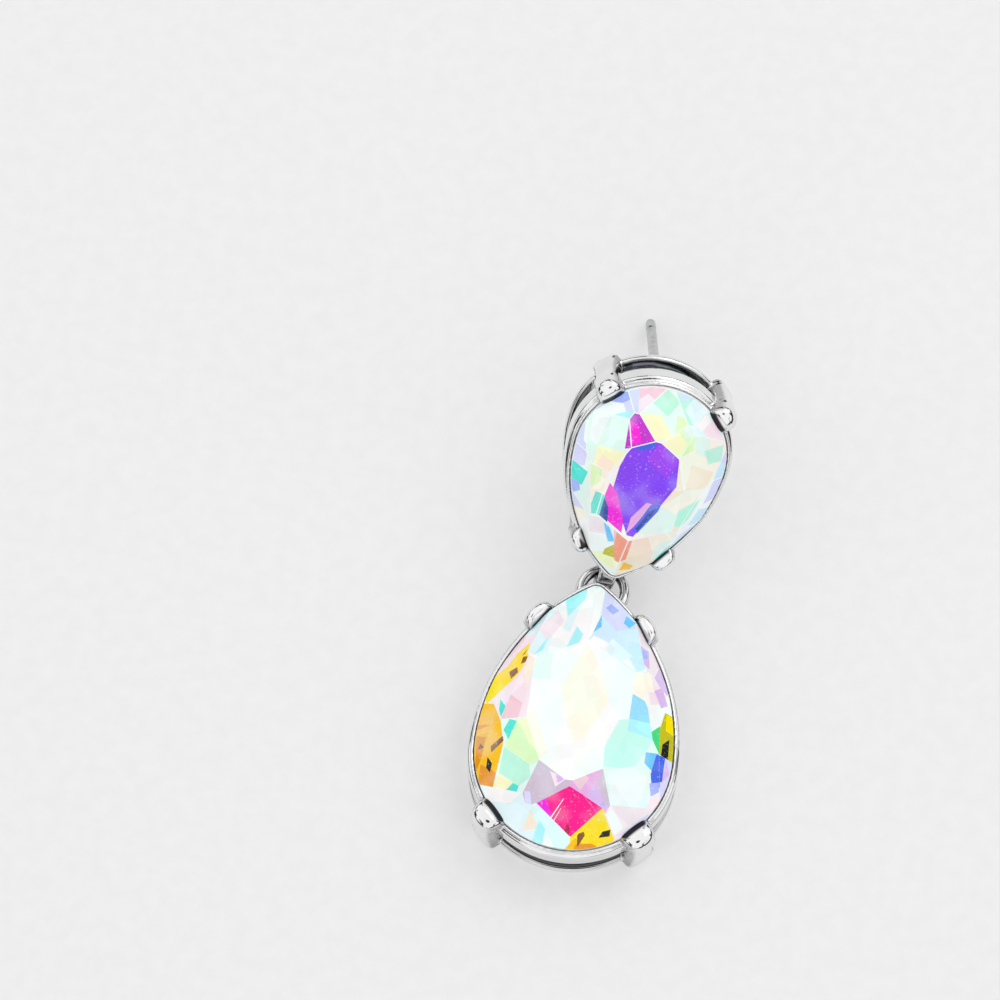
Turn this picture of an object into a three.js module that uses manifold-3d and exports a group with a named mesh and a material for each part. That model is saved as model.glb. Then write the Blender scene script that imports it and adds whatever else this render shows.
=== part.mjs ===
// A drop earring for a pierced ear, lying on a table as it comes to rest by itself.
// It is two pear-cut glass stones, each held in a cast open basket: a rail at the back, a bezel
// round the girdle and four claws that run from one to the other and bend over the stone's edge.
// The small stud has its point down, an ear post soldered to a bar across its back, and a flat
// band loop at its point. The large drop has its point up, and a round wire ring at that point
// that the band loop passes through. The drop lies flat on its back rail. The stud leans on the
// end of its post, because the post keeps it from lying flat.
// Units are millimetres. Z is up from the table, and Y runs along the drop towards the stud.
// Each basket is modelled in a frame of its own: the origin is on the back plane under the centre
// of the pear's round end, the point lies towards -y, and the stone faces +z.

import * as THREE from "three";
import { mergeVertices } from "three/addons/utils/BufferGeometryUtils.js";
import Module from "manifold-3d";

const wasm = await Module();
wasm.setup();

// The stones: width, length from the round end to the point, the rounding of the point, and the
// heights above and below the girdle, which is the thin upright band at the widest level.
const STUD_STONE = { width: 10, length: 14, point: 0.6, crown: 1.6, pavilion: 2.7 };
const DROP_STONE = { width: 13, length: 18, point: 0.7, crown: 2.0, pavilion: 3.3 };
const GIRDLE = 0.3;
const SEAT_CLEARANCE = 0.15;

// The baskets: depth from the back plane to the top of the girdle, height of the rail, and height
// of the gallery, which is the open window between the rail and the bezel.
const STUD_BASKET = { depth: 4.3, rail: 0.6, gallery: 1.65 };
const DROP_BASKET = { depth: 4.8, rail: 0.65, gallery: 1.9 };
const RAIL_PROUD = 0.45; // how far the rail and the bezel stand outside the stone's outline
const RAIL_INNER = 0.5; // how far they reach inside it
const BEZEL_BELOW_GIRDLE_TOP = 0.06;

// The claws on one side of each basket, mirrored on the other. Azimuth is the direction in degrees
// that the outline faces there, -90 at the point and 90 at the round end, and proud is how far a
// claw stands outside the stone's outline.
const STUD_CLAWS = [
  { azimuth: -43, width: 1.6, proud: 1.0 },
  { azimuth: 45, width: 1.7, proud: 1.2 },
];
const DROP_CLAWS = [
  { azimuth: -40, width: 2.0, proud: 1.0 },
  { azimuth: 45, width: 2.0, proud: 1.35 },
];

// What is alike on all claws.
const CLAW_LIP = 0.25; // how far a tip bends in over the stone
const CLAW_RISE = 0.65; // how far a tip stands above the girdle
const CLAW_EDGE = 0.4; // the rounding of the long edges
const CLAW_FOOT_SINK = 0.3; // how deep a foot sinks into the rail

// The joint between stud and drop.
const RING_DIAMETER = 3.7;
const RING_WIRE = 0.73;
const RING_PAST_POINT = 0.6; // from the drop stone's point to the ring's centre
const RING_ASIDE = 0.35; // from the drop's middle line to the ring's centre
const RING_HEIGHT = 1.55; // the height of the ring's wire above the back plane
const RING_FOOT_DIAMETER = 0.9;
const RING_FOOT_TURN = 50; // degrees round the ring, from its sides towards the drop
const LOOP_PLAY = 0.5; // all round the wire inside the loop
const LOOP_BAND = 0.45;
const LOOP_WIDTH = 1.2;
const LOOP_HEIGHT = 0.9; // the height of the loop's centre above the stud's back plane
const LOOP_OVERLAP = 0.45; // how far the loop's band runs into the rail

// The ear post and what it is soldered to.
const POST_DIAMETER = 0.7;
const POST_LENGTH = 12.2;
const POST_TIP_DIAMETER = 0.45;
const POST_TIP_LENGTH = 0.15;
const POST_NOTCH_DIAMETER = 0.56;
const POST_NOTCH_WIDTH = 0.5;
const POST_NOTCH_FROM_TIP = 1.6;
const POST_BELOW_TOP = 3; // from the stud basket's top edge to the post
const BAR_WIDTH = 1.5;
const BAR_HEIGHT = 0.9;
const PAD_DIAMETER = 3.4;
const PAD_PROUD = 0.3;

// How the stud has rolled to one side about the drop's length, and swung on the ring.
const STUD_ROLL = THREE.MathUtils.degToRad(10.8);
const STUD_SWING = THREE.MathUtils.degToRad(-2.5);

// The crown's facets on one side of the stone, mirrored on the other. Azimuth is the direction
// that a facet faces, in degrees: -90 towards the point and 90 towards the round end. Rim is where
// its plane crosses the girdle's level, as a share of the outline's reach in that direction, and
// table is where it crosses the table's level, as a share of half the width.
const CROWN_FACETS = [
  { azimuth: -90, rim: 1.0, table: 1.25 },
  { azimuth: -62, rim: 1.0, table: 0.983 },
  { azimuth: -30, rim: 0.985, table: 0.94 },
  { azimuth: -8, rim: 1.0, table: 0.66 },
  { azimuth: 0, rim: 1.2, table: 0.512 },
  { azimuth: 9, rim: 1.0, table: 0.62 },
  { azimuth: 24, rim: 1.04, table: 0.375 },
  { azimuth: 42, rim: 1.0, table: 0.5 },
  { azimuth: 60, rim: 1.28, table: 0.331 },
  { azimuth: 73, rim: 1.0, table: 0.5 },
  { azimuth: 90, rim: 1.04, table: 0.36 },
];

// The pavilion's facets, in the same way: each runs down to the keel, which lies along the stone
// below its middle. Keel is where the plane crosses the keel's level, as a share of half the width.
const PAVILION_FACETS = [
  { azimuth: -90, rim: 1.0, keel: 0.3 },
  { azimuth: -68, rim: 0.99, keel: 0.2 },
  { azimuth: -48, rim: 1.0, keel: 0.12 },
  { azimuth: -30, rim: 0.99, keel: 0.04 },
  { azimuth: -15, rim: 1.0, keel: 0.08 },
  { azimuth: 0, rim: 1.0, keel: 0.02 },
  { azimuth: 18, rim: 1.0, keel: 0.06 },
  { azimuth: 36, rim: 1.0, keel: 0.02 },
  { azimuth: 54, rim: 1.0, keel: 0.06 },
  { azimuth: 72, rim: 1.0, keel: 0.02 },
  { azimuth: 90, rim: 1.0, keel: 0.06 },
];

// How finely round things are divided.
const ROUND_END_STEPS = 30;
const FLANK_STEPS = 14;
const POINT_STEPS = 4;
const WIRE_SIDES = 12;
const RING_STEPS = 32;
const LOOP_STEPS = 28;
const POST_SIDES = 16;
const CUTTER_SIZE = 80; // larger than any stone

const { degToRad } = THREE.MathUtils;

// A closed three.js geometry as a solid, placed by a matrix.
function solid(geometry, matrix = new THREE.Matrix4()) {
  const plain = geometry.clone().applyMatrix4(matrix);
  plain.deleteAttribute("normal");
  plain.deleteAttribute("uv");
  const merged = mergeVertices(plain, 1e-5);
  return new wasm.Manifold(
    new wasm.Mesh({
      numProp: 3,
      vertProperties: new Float32Array(merged.attributes.position.array),
      triVerts: new Uint32Array(merged.index.array),
    }),
  );
}

// A solid as a geometry with flat faces.
function geometryOf(made) {
  const mesh = made.getMesh();
  const geometry = new THREE.BufferGeometry();
  geometry.setAttribute("position", new THREE.BufferAttribute(mesh.vertProperties, 3));
  geometry.setIndex(new THREE.BufferAttribute(mesh.triVerts, 1));
  const flat = geometry.toNonIndexed();
  flat.computeVertexNormals();
  return flat;
}

const joined = (solids) => solids.reduce((whole, piece) => whole.add(piece));
const moved = (x, y, z) => new THREE.Matrix4().makeTranslation(x, y, z);

// The arcs of a stone's outline: a half circle at the round end, two long flanks that leave it
// without a corner, and a small arc at the point that touches both flanks.
function pearArcs(stone) {
  const roundEnd = stone.width / 2;
  const pointCentre = stone.length - roundEnd - stone.point;
  const flank =
    (roundEnd ** 2 - stone.point ** 2 + pointCentre ** 2) / (2 * (roundEnd - stone.point));
  const flankCentre = flank - roundEnd;
  return { roundEnd, flank, flankCentre, pointCentre, turn: Math.atan2(pointCentre, flankCentre) };
}

// The outline grown outwards by an offset, as points that run counterclockwise.
function pearPoints(stone, offset) {
  const { roundEnd, flank, flankCentre, turn } = pearArcs(stone);
  const sharpest = 0.1;
  const pointRadius = Math.max(stone.point + offset, sharpest);
  const pointCentre = Math.sqrt((flank + offset - pointRadius) ** 2 - flankCentre ** 2);
  const pointTurn = pointRadius > sharpest ? turn : Math.atan2(pointCentre, flankCentre);
  const arc = (x, y, radius, from, to, steps) =>
    new THREE.ArcCurve(x, y, radius, from, to, false).getPoints(steps).slice(0, -1);
  return [
    ...arc(0, 0, roundEnd + offset, 0, Math.PI, ROUND_END_STEPS),
    ...arc(flankCentre, 0, flank + offset, Math.PI, Math.PI + pointTurn, FLANK_STEPS),
    ...arc(0, -pointCentre, pointRadius, Math.PI + pointTurn, 2 * Math.PI - pointTurn, POINT_STEPS),
    ...arc(-flankCentre, 0, flank + offset, 2 * Math.PI - pointTurn, 2 * Math.PI, FLANK_STEPS),
  ];
}

// How far the outline reaches from the origin in a direction.
function reach(stone, azimuth) {
  const facing = new THREE.Vector2(Math.cos(azimuth), Math.sin(azimuth));
  return Math.max(...pearPoints(stone, 0).map((point) => point.dot(facing)));
}

// The point of the outline that faces in a direction.
function rimPoint(stone, azimuth) {
  const facing = new THREE.Vector2(Math.cos(azimuth), Math.sin(azimuth));
  const { roundEnd, flank, flankCentre } = pearArcs(stone);
  if (facing.y >= 0) return facing.multiplyScalar(roundEnd);
  const centre = -flankCentre * Math.sign(facing.x);
  return facing.multiplyScalar(flank).add(new THREE.Vector2(centre, 0));
}

const mirrored = (rows) =>
  rows.flatMap((row) =>
    Math.abs(row.azimuth) === 90 ? [row] : [row, { ...row, azimuth: 180 - row.azimuth }],
  );

// A stone, ground from an upright blank one facet at a time. Grow makes each face stand that much
// further out, which gives the space that its setting leaves for it.
function cutStone(stone, girdleTop, grow = 0) {
  const girdleFoot = girdleTop - GIRDLE;
  const table = girdleTop + stone.crown + grow;
  const keel = girdleFoot - stone.pavilion - grow;
  const blank = new THREE.ExtrudeGeometry(new THREE.Shape(pearPoints(stone, grow)), {
    depth: table - keel,
    bevelEnabled: false,
  });
  const side = (row, level, height, inner) => {
    const azimuth = degToRad(row.azimuth);
    const rim = row.rim * reach(stone, azimuth);
    const run = rim - (inner * stone.width) / 2;
    const facing = new THREE.Vector3(
      Math.abs(height) * Math.cos(azimuth),
      Math.abs(height) * Math.sin(azimuth),
      Math.sign(height) * run,
    ).normalize();
    const onPlane = new THREE.Vector3(rim * Math.cos(azimuth), rim * Math.sin(azimuth), level);
    const centre = onPlane.addScaledVector(facing, grow + CUTTER_SIZE / 2);
    const turn = new THREE.Quaternion().setFromUnitVectors(new THREE.Vector3(0, 0, 1), facing);
    const placed = new THREE.Matrix4().compose(centre, turn, new THREE.Vector3(1, 1, 1));
    return solid(new THREE.BoxGeometry(CUTTER_SIZE, CUTTER_SIZE, CUTTER_SIZE), placed);
  };
  const grinds = [
    ...mirrored(CROWN_FACETS).map((row) => side(row, girdleTop, stone.crown, row.table)),
    ...mirrored(PAVILION_FACETS).map((row) => side(row, girdleFoot, -stone.pavilion, row.keel)),
  ];
  return grinds.reduce((left, grind) => left.subtract(grind), solid(blank, moved(0, 0, keel)));
}

// A rail that follows the stone's outline between two levels.
function rail(stone, from, to) {
  const shape = new THREE.Shape(pearPoints(stone, RAIL_PROUD));
  shape.holes.push(new THREE.Path(pearPoints(stone, -RAIL_INNER)));
  const ring = new THREE.ExtrudeGeometry(shape, { depth: to - from, bevelEnabled: false });
  return solid(ring, moved(0, 0, from));
}

// A claw, drawn from the side with the stone to its left: an upright strip whose round tip bends
// in over the stone.
function claw(stone, basket, row) {
  const tip = (row.proud + CLAW_LIP) / 2;
  const tipCentre = basket.depth + CLAW_RISE - tip;
  const side = new THREE.Shape();
  side.moveTo(-CLAW_FOOT_SINK + CLAW_EDGE, CLAW_EDGE);
  side.lineTo(row.proud - CLAW_EDGE, CLAW_EDGE);
  side.absarc(row.proud - tip, tipCentre, tip - CLAW_EDGE, 0, Math.PI, false);
  side.lineTo(-CLAW_LIP + CLAW_EDGE, basket.depth - GIRDLE - CLAW_EDGE);
  side.lineTo(-CLAW_FOOT_SINK + CLAW_EDGE, basket.rail);
  const strip = new THREE.ExtrudeGeometry(side, {
    depth: row.width - 2 * CLAW_EDGE,
    curveSegments: 6,
    bevelThickness: CLAW_EDGE,
    bevelSize: CLAW_EDGE,
    bevelSegments: 3,
  });
  const azimuth = degToRad(row.azimuth);
  const at = rimPoint(stone, azimuth);
  const placed = moved(at.x, at.y, 0)
    .multiply(new THREE.Matrix4().makeRotationZ(azimuth))
    .multiply(new THREE.Matrix4().makeRotationX(Math.PI / 2))
    .multiply(moved(0, 0, -row.width / 2 + CLAW_EDGE));
  return solid(strip, placed);
}

// A basket round a stone: the rail, the bezel, the claws and what is soldered on, with the
// stone's seat cut out of them.
function setting(stone, basket, claws, soldered) {
  return joined([
    rail(stone, 0, basket.rail),
    rail(stone, basket.rail + basket.gallery, basket.depth - BEZEL_BELOW_GIRDLE_TOP),
    ...mirrored(claws).map((row) => claw(stone, basket, row)),
    ...soldered,
  ]).subtract(cutStone(stone, basket.depth, SEAT_CLEARANCE));
}

// How far below a basket's origin its rail's outer corner lies, at the point.
const railPoint = (stone) => stone.length - stone.width / 2 + RAIL_PROUD;

// The round wire ring at the drop's point, on two feet that stand on the rail's arms.
const ringRadius = (RING_DIAMETER - RING_WIRE) / 2;
const ringCentre = DROP_STONE.length - DROP_STONE.width / 2 + RING_PAST_POINT;

function ring() {
  const wire = new THREE.TorusGeometry(ringRadius, RING_WIRE / 2, WIRE_SIDES, RING_STEPS);
  const foot = new THREE.CylinderGeometry(
    RING_FOOT_DIAMETER / 2,
    RING_FOOT_DIAMETER / 2,
    RING_HEIGHT,
    WIRE_SIDES,
  ).rotateX(Math.PI / 2);
  const footTurn = degToRad(RING_FOOT_TURN);
  const feet = [-1, 1].map((side) =>
    solid(
      foot,
      moved(
        -RING_ASIDE + side * ringRadius * Math.cos(footTurn),
        -ringCentre + ringRadius * Math.sin(footTurn),
        RING_HEIGHT / 2,
      ),
    ),
  );
  return joined([solid(wire, moved(-RING_ASIDE, -ringCentre, RING_HEIGHT)), ...feet]);
}

// The flat band loop at the stud's point, round the ring's wire.
const loopHole = RING_WIRE / 2 + LOOP_PLAY;
const loopRadius = loopHole + LOOP_BAND;
const loopCentre = railPoint(STUD_STONE) + loopRadius - LOOP_OVERLAP;

function loop() {
  const band = new THREE.Shape().absarc(0, 0, loopRadius, 0, 2 * Math.PI, false);
  band.holes.push(new THREE.Path().absarc(0, 0, loopHole, 0, 2 * Math.PI, true));
  const strip = new THREE.ExtrudeGeometry(band, {
    depth: LOOP_WIDTH,
    bevelEnabled: false,
    curveSegments: LOOP_STEPS / 2,
  });
  const placed = moved(-LOOP_WIDTH / 2, -loopCentre, LOOP_HEIGHT).multiply(
    new THREE.Matrix4().makeRotationY(Math.PI / 2),
  );
  return solid(strip, placed);
}

// The ear post with the notch that a clutch clicks into, and the bar and pad that carry it.
const postY = STUD_STONE.width / 2 + RAIL_PROUD - POST_BELOW_TOP;

function post() {
  const wire = POST_DIAMETER / 2;
  const notch = POST_NOTCH_DIAMETER / 2;
  const notchFoot = POST_LENGTH - POST_NOTCH_FROM_TIP;
  const slope = wire - notch;
  const profile = [
    [0, -POST_LENGTH],
    [POST_TIP_DIAMETER / 2, -POST_LENGTH],
    [wire, -POST_LENGTH + POST_TIP_LENGTH],
    [wire, -notchFoot - POST_NOTCH_WIDTH / 2],
    [notch, -notchFoot - POST_NOTCH_WIDTH / 2 + slope],
    [notch, -notchFoot + POST_NOTCH_WIDTH / 2 - slope],
    [wire, -notchFoot + POST_NOTCH_WIDTH / 2],
    [wire, BAR_HEIGHT / 2],
    [0, BAR_HEIGHT / 2],
  ].map(([radius, height]) => new THREE.Vector2(radius, height));
  const turned = new THREE.LatheGeometry(profile, POST_SIDES).rotateX(Math.PI / 2);
  return solid(turned, moved(0, postY, 0));
}

function postBar() {
  const halfSpan = Math.sqrt((STUD_STONE.width / 2) ** 2 - postY ** 2);
  const bar = new THREE.BoxGeometry(2 * halfSpan, BAR_WIDTH, BAR_HEIGHT);
  const padHeight = BAR_HEIGHT + PAD_PROUD;
  const pad = new THREE.CylinderGeometry(
    PAD_DIAMETER / 2,
    PAD_DIAMETER / 2,
    padHeight,
    2 * WIRE_SIDES,
  ).rotateX(Math.PI / 2);
  return joined([
    solid(bar, moved(0, postY, BAR_HEIGHT / 2)),
    solid(pad, moved(0, postY, BAR_HEIGHT - padHeight / 2)),
  ]);
}

// How the stud lies: its loop is round the ring's wire, and its lean is the one that puts the
// edge of the post's tip on the table.
function studPlace() {
  const along = postY + loopCentre;
  const down = POST_LENGTH + LOOP_HEIGHT;
  const span = Math.hypot(along, down);
  const squareLean = Math.atan2(down, along);
  const fall = (lean) => Math.sqrt(1 - (Math.cos(STUD_ROLL) * Math.cos(lean)) ** 2);
  const lean = [...Array(8)].reduce((guess) => {
    const tipEdge = (POST_TIP_DIAMETER / 2) * fall(guess);
    return squareLean - Math.asin((RING_HEIGHT - tipEdge) / Math.cos(STUD_ROLL) / span);
  }, squareLean);
  const turned = new THREE.Matrix4()
    .makeRotationZ(STUD_SWING)
    .multiply(new THREE.Matrix4().makeRotationY(STUD_ROLL))
    .multiply(new THREE.Matrix4().makeRotationX(lean));
  return moved(RING_ASIDE, ringCentre + ringRadius, RING_HEIGHT)
    .multiply(turned)
    .multiply(moved(0, loopCentre, -LOOP_HEIGHT));
}

const rhodium = () =>
  new THREE.MeshStandardMaterial({ color: 0xdcdde0, roughness: 0.12, metalness: 1 });
const crystal = (color) =>
  new THREE.MeshStandardMaterial({ color, roughness: 0.04, metalness: 0.1 });

function named(name, made, material) {
  const mesh = new THREE.Mesh(geometryOf(made), material);
  mesh.name = name;
  return mesh;
}

const drop = new THREE.Group();
drop.add(named("drop_stone", cutStone(DROP_STONE, DROP_BASKET.depth), crystal(0xf2f8f4)));
drop.add(
  named("drop_setting", setting(DROP_STONE, DROP_BASKET, DROP_CLAWS, [ring()]), rhodium()),
);
drop.rotation.z = Math.PI;

const stud = new THREE.Group();
const onStud = [loop(), postBar(), post()];
stud.add(named("stud_stone", cutStone(STUD_STONE, STUD_BASKET.depth), crystal(0xf4eefc)));
stud.add(
  named("stud_setting", setting(STUD_STONE, STUD_BASKET, STUD_CLAWS, onStud), rhodium()),
);
stud.applyMatrix4(studPlace());

// The origin is on the table, under the middle of the whole earring.
const lying = new THREE.Group().add(drop, stud);
const footprint = new THREE.Box3().setFromObject(lying, true);
const middle = footprint.getCenter(new THREE.Vector3());
lying.position.set(-middle.x, -middle.y, -footprint.min.z);

const earring = new THREE.Group().add(lying);

export default earring;
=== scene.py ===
import math

import bmesh
import bpy
from mathutils import Matrix, Vector
from mathutils.bvhtree import BVHTree


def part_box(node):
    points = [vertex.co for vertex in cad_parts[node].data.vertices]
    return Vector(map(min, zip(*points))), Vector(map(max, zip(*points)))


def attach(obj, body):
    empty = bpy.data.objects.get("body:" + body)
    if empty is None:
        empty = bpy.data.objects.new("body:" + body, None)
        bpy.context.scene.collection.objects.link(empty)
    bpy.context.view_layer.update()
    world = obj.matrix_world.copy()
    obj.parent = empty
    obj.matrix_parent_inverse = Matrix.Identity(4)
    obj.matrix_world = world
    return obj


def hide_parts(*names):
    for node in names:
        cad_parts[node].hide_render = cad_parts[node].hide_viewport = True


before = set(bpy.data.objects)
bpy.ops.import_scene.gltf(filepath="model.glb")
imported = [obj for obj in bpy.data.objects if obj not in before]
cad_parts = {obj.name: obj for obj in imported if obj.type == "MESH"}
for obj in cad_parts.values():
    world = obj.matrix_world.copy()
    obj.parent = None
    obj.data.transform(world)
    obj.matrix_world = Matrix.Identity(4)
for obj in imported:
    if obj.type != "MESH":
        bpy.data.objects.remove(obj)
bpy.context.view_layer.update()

# The view. The camera looks down on the table, a little past the drop's round end, with a long
# lens. It is placed so that the middle of the drop's stone falls where the photograph has it.
MM = 0.001
PHOTO_SIZE = 1000
DROP_STONE_PIXEL = (578.5, 719.5)
LENS = 200.0
SENSOR = 36.0
CAMERA_ELEVATION = math.radians(73)
CAMERA_TURN = math.radians(8.2)
CAMERA_DISTANCE = 365 * MM
NEAREST_SEEN = 5 * MM

drop_low, drop_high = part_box("drop_stone")
drop_middle = (drop_low + drop_high) / 2
forward = Vector((
    -math.sin(CAMERA_TURN) * math.cos(CAMERA_ELEVATION),
    math.cos(CAMERA_TURN) * math.cos(CAMERA_ELEVATION),
    -math.sin(CAMERA_ELEVATION),
))
camera_right = Vector((math.cos(CAMERA_TURN), math.sin(CAMERA_TURN), 0))
camera_up = camera_right.cross(forward)
pixel = CAMERA_DISTANCE * SENSOR / LENS / PHOTO_SIZE
aside = (DROP_STONE_PIXEL[0] - PHOTO_SIZE / 2) * pixel
below = (DROP_STONE_PIXEL[1] - PHOTO_SIZE / 2) * pixel
camera_place = drop_middle - forward * CAMERA_DISTANCE - camera_right * aside + camera_up * below

camera_data = bpy.data.cameras.new("camera")
camera_data.lens = LENS
camera_data.sensor_width = SENSOR
camera_data.clip_start = NEAREST_SEEN
camera = bpy.data.objects.new("camera", camera_data)
camera.matrix_world = Matrix.Translation(camera_place) @ Matrix((
    (camera_right.x, camera_up.x, -forward.x),
    (camera_right.y, camera_up.y, -forward.y),
    (camera_right.z, camera_up.z, -forward.z),
)).to_4x4()
bpy.context.scene.collection.objects.link(camera)
bpy.context.scene.camera = camera
bpy.context.scene.view_settings.view_transform = "Standard"

# The table: a sheet of pale coated card that the earring lies on, matt and with a faint grain. It
# is staged, so it is no part of the earring. It gives off light, for the photograph's even glow.
TABLE_RADIUS = 2000 * MM
TABLE_GAP = 0.02 * MM
CARD_DARK = (0.425, 0.425, 0.425, 1)
CARD_LIGHT = (0.435, 0.435, 0.435, 1)


class Shade:
    """A socket of a material. Sums and products of shades and numbers add Math nodes."""

    def __init__(self, tree, output=None):
        self.tree = tree
        self.output = output

    def node(self, kind, settings=None, sockets=None, output=0):
        made = self.tree.nodes.new("ShaderNode" + kind)
        for name, value in (settings or {}).items():
            setattr(made, name, value)
        for name, value in (sockets or {}).items():
            if isinstance(value, Shade):
                self.tree.links.new(value.output, made.inputs[name])
            else:
                made.inputs[name].default_value = value
        return Shade(self.tree, made.outputs[output] if made.outputs else None)

    def math(self, operation, *values):
        return self.node("Math", {"operation": operation}, dict(enumerate(values)))

    def __add__(self, other):
        return self.math("ADD", self, other)

    def __mul__(self, other):
        return self.math("MULTIPLY", self, other)

    def __sub__(self, other):
        return self.math("SUBTRACT", self, other)

    def __rsub__(self, other):
        return self.math("SUBTRACT", other, self)

    __radd__ = __add__
    __rmul__ = __mul__

    def between(self, low, high):
        """0 below low, 1 above high, and a soft step from one to the other."""
        sockets = {"Value": self, "From Min": low, "From Max": high}
        return self.node("MapRange", {"interpolation_type": "SMOOTHSTEP"}, sockets)

    def mix(self, first, second):
        """The first colour where this shade is 0 and the second where it is 1."""
        return self.node("Mix", {"data_type": "RGBA"}, {0: self, 6: first, 7: second}, 2)

    def noise(self, scale, detail):
        place = self.node("TexCoord", output="Object")
        return self.node("TexNoise", None, {"Vector": place, "Scale": scale, "Detail": detail})

    def surface(self, sockets):
        surface = self.node("BsdfPrincipled", None, sockets)
        self.node("OutputMaterial", None, {"Surface": surface})


def finish_of(name):
    made = bpy.data.materials.new(name)
    made.use_nodes = True
    made.node_tree.nodes.clear()
    return made, Shade(made.node_tree)


floor_mesh = bmesh.new()
bmesh.ops.create_circle(floor_mesh, cap_ends=True, segments=64, radius=TABLE_RADIUS)
floor_data = bpy.data.meshes.new("floor")
floor_mesh.to_mesh(floor_data)
floor_mesh.free()
floor = bpy.data.objects.new("floor", floor_data)
floor.location.z = -TABLE_GAP
bpy.context.scene.collection.objects.link(floor)
card, shade = finish_of("pale card")
tone = shade.noise(900.0, 3.0).between(0.3, 0.7).mix(CARD_DARK, CARD_LIGHT)
shade.surface({"Base Color": tone, "Roughness": 0.75, "Specular IOR Level": 0.1,
               "Emission Color": tone, "Emission Strength": 1.0})
floor_data.materials.append(card)

# The studio: a bright overcast world with dark cards standing round the table, which give the
# polished metal something dark to show. No card stands in front of the window. The lens has a
# dark hood, and one large soft light hangs at the upper right.
OVERCAST = (1.0, 1.0, 1.0, 1)
CARD_BLACK = (0.03, 0.03, 0.03, 1)
OVERCAST_STRENGTH = 1.05
CARDS_SCALE = 2.6
WINDOW_DIRECTION = (0.12, -0.91, 0.38)
SOFTBOX_SIZE = 250 * MM
SOFTBOX_ENERGY = 0.3
SOFTBOX_PLACE = Vector((190, 230, 400)) * MM

world = bpy.data.worlds.new("studio")
bpy.context.scene.world = world
world.use_nodes = True
world.node_tree.nodes.clear()
sky = Shade(world.node_tree)
direction = sky.node("TexCoord", output="Generated")
height = sky.node("SeparateXYZ", None, {"Vector": direction}, "Z")
patches = sky.node("TexNoise", None, {"Vector": direction, "Scale": CARDS_SCALE, "Detail": 0.0})
low_cards = height.between(-0.04, 0.03) * (1 - height.between(0.24, 0.34)) * patches.between(0.36, 0.46)
high_cards = height.between(0.10, 0.20) * (1 - height.between(0.50, 0.62)) * patches.between(0.56, 0.62)
hood = sky.node("VectorMath", {"operation": "DOT_PRODUCT"}, {0: direction, 1: -forward}, "Value")
window = sky.node(
    "VectorMath", {"operation": "DOT_PRODUCT"}, {0: direction, 1: WINDOW_DIRECTION}, "Value")
cards = sky.math("MAXIMUM", low_cards, high_cards) * (1 - window.between(0.93, 0.97))
dark = sky.math("MAXIMUM", cards, hood.between(0.982, 0.988))
glow = dark.mix(OVERCAST, CARD_BLACK)
background = sky.node("Background", None, {"Color": glow, "Strength": OVERCAST_STRENGTH})
sky.node("OutputWorld", None, {"Surface": background})

lamp_data = bpy.data.lights.new("softbox", "AREA")
lamp_data.size = SOFTBOX_SIZE
lamp_data.energy = SOFTBOX_ENERGY
lamp = bpy.data.objects.new("softbox", lamp_data)
facing_table = SOFTBOX_PLACE.to_track_quat("Z", "Y").to_matrix().to_4x4()
lamp.matrix_world = Matrix.Translation(SOFTBOX_PLACE) @ facing_table
bpy.context.scene.collection.objects.link(lamp)

# The stones: two pears of cut glass, with a rainbow coating on the crown and dark foil on the back.
# What each crown facet shows is painted on it as painted reflections. Each is the solid's own cut,
# with the edges between its facets polished off a little, and it drops into its seat under four claws.
SNOW = (0.95, 0.97, 0.95)
CREAM = (0.98, 0.95, 0.80)
LEMON = (0.95, 0.96, 0.58)
LIME = (0.74, 0.98, 0.54)
MINT = (0.50, 0.94, 0.74)
PALE_MINT = (0.78, 0.97, 0.88)
SEAFOAM = (0.58, 0.97, 0.86)
AQUA = (0.42, 0.92, 0.96)
PALE_AQUA = (0.76, 0.96, 0.98)
TURQUOISE = (0.08, 0.78, 0.66)
SKY = (0.14, 0.55, 0.95)
PALE_SKY = (0.62, 0.84, 0.98)
AZURE = (0.30, 0.74, 0.96)
ICE = (0.86, 0.98, 0.98)
PERIWINKLE = (0.38, 0.46, 0.96)
LAVENDER = (0.70, 0.70, 0.98)
LILAC = (0.72, 0.48, 0.86)
MAUVE = (0.62, 0.52, 0.64)
BLUSH = (0.95, 0.80, 0.86)
PINK = (0.90, 0.60, 0.68)
PEACH = (0.98, 0.84, 0.66)
CORAL = (0.98, 0.34, 0.22)
MAGENTA = (1.0, 0.0, 0.26)
CRIMSON = (0.50, 0.0, 0.05)
FUCHSIA = (0.95, 0.01, 0.72)
PURPLE = (0.56, 0.03, 0.62)
ORCHID = (0.36, 0.05, 0.92)
ROSE = (0.84, 0.42, 0.78)
VIOLET = (0.24, 0.05, 0.92)
ROYAL = (0.05, 0.13, 0.80)
NAVY = (0.02, 0.06, 0.35)
YELLOW = (1.0, 0.76, 0.0)
GOLD = (1.0, 0.52, 0.0)
ORANGE = (0.86, 0.30, 0.01)
OLIVE = (0.58, 0.50, 0.01)
GREEN = (0.06, 0.72, 0.22)
BROWN = (0.25, 0.08, 0.01)
INK = (0.015, 0.015, 0.01)
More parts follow.
